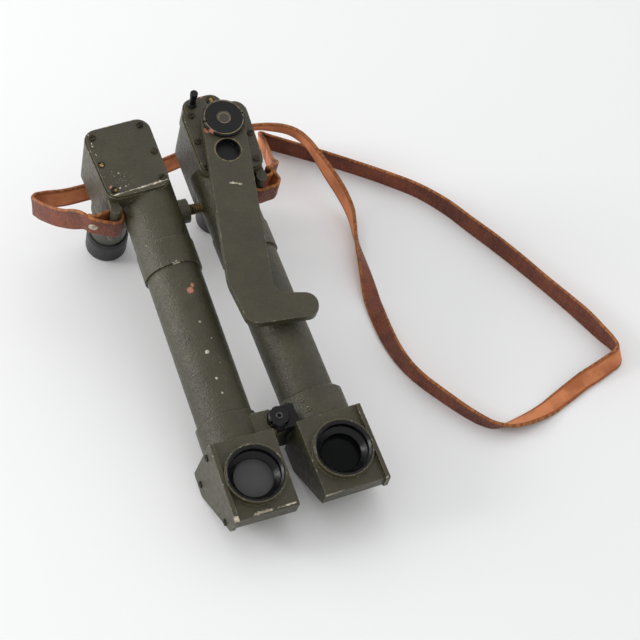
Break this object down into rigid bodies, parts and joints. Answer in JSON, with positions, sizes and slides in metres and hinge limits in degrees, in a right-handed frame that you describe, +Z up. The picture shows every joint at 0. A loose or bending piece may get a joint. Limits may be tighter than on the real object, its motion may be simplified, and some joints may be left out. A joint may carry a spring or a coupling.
{
  "type": "scissors periscope",
  "caption": "Binocular periscope of two hinged tube arms with prism heads, eyepieces at right angles, a swinging hooked hand grip and a leather neck strap, as laid on a table.",
  "frame": {"origin": "on the table, under the middle of the bounding box of the instrument without its strap", "axes": "+Z up from the table, +Y from the objective heads towards the eyepieces, +X towards the arm with the hand grip"},
  "size_m": [0.3099, 0.3137, 0.117],
  "materials": {
    "olive_paint": "wrinkled dark olive paint, worn at the edges",
    "black_paint": "black enamel, worn at the edges",
    "grey_green_paint": "satin grey-green paint",
    "bare_steel": "dulled steel",
    "brass": "tarnished brass",
    "rubber": "matt black rubber",
    "glass": "polished optical glass",
    "leather": "dark waxed grain side, tan flesh side"
  },
  "bodies": {
    "right_arm": {"right_head": "olive_paint", "right_side_plate": "olive_paint", "right_side_screws": "bare_steel", "right_objective_ring": "black_paint", "right_objective_lens": "glass", "right_head_prism": "glass", "right_tube": "olive_paint", "right_collar": "olive_paint", "right_sleeve": "olive_paint", "right_prism_housing": "olive_paint", "right_eye_prism": "glass", "right_cover_plate": "olive_paint", "right_cover_screws": "brass", "right_strap_lug": "olive_paint", "right_hinge_lug": "black_paint", "lug_screws": "olive_paint", "hinge_bolt": "bare_steel", "hinge_knob": "black_paint", "guide_stud": "brass", "grip_washer": "bare_steel", "pivot_pin": "bare_steel", "pivot_disc": "black_paint", "grip_stop": "black_paint", "strap": "leather", "strap_rivets": "bare_steel"},
    "left_arm": {"left_head": "olive_paint", "left_side_plate": "olive_paint", "left_side_screws": "bare_steel", "left_objective_ring": "black_paint", "left_objective_lens": "glass", "left_head_prism": "glass", "left_tube": "olive_paint", "left_collar": "olive_paint", "left_sleeve": "olive_paint", "left_prism_housing": "olive_paint", "left_eye_prism": "glass", "left_cover_plate": "olive_paint", "left_cover_screws": "brass", "left_strap_lug": "olive_paint"},
    "handle": {"hand_grip": "olive_paint", "grip_cup": "black_paint"},
    "left_eyepiece": {"left_eyepiece_barrel": "grey_green_paint", "left_eye_lens": "glass", "left_eyecup": "rubber"},
    "right_eyepiece": {"right_eyepiece_barrel": "grey_green_paint", "right_eye_lens": "glass", "right_eyecup": "rubber"}
  },
  "joints": [
    {"name": "scissor_hinge", "type": "hinge", "parent": "right_arm", "child": "left_arm", "pos_m": [0, -0.07356, 0.02338], "axis": [0, -0.3129, 0.9498], "range_deg": [-3.1, 0.6], "deforming": ["strap"]},
    {"name": "handle_swing", "type": "hinge", "parent": "right_arm", "child": "handle", "pos_m": [0.03128, 0.09723, 0.10322], "axis": [0, -0.3129, 0.9498], "range_deg": [-94.5, 182]},
    {"name": "left_eyepiece_turn", "type": "hinge", "parent": "left_arm", "child": "left_eyepiece", "pos_m": [-0.03703, 0.11379, 0.02192], "axis": [0, -0.3129, 0.9498], "range_deg": [-60, 60]},
    {"name": "right_eyepiece_turn", "type": "hinge", "parent": "right_arm", "child": "right_eyepiece", "pos_m": [0.03703, 0.11379, 0.02192], "axis": [0, -0.3129, 0.9498], "range_deg": [-60, 60]}
  ]
}
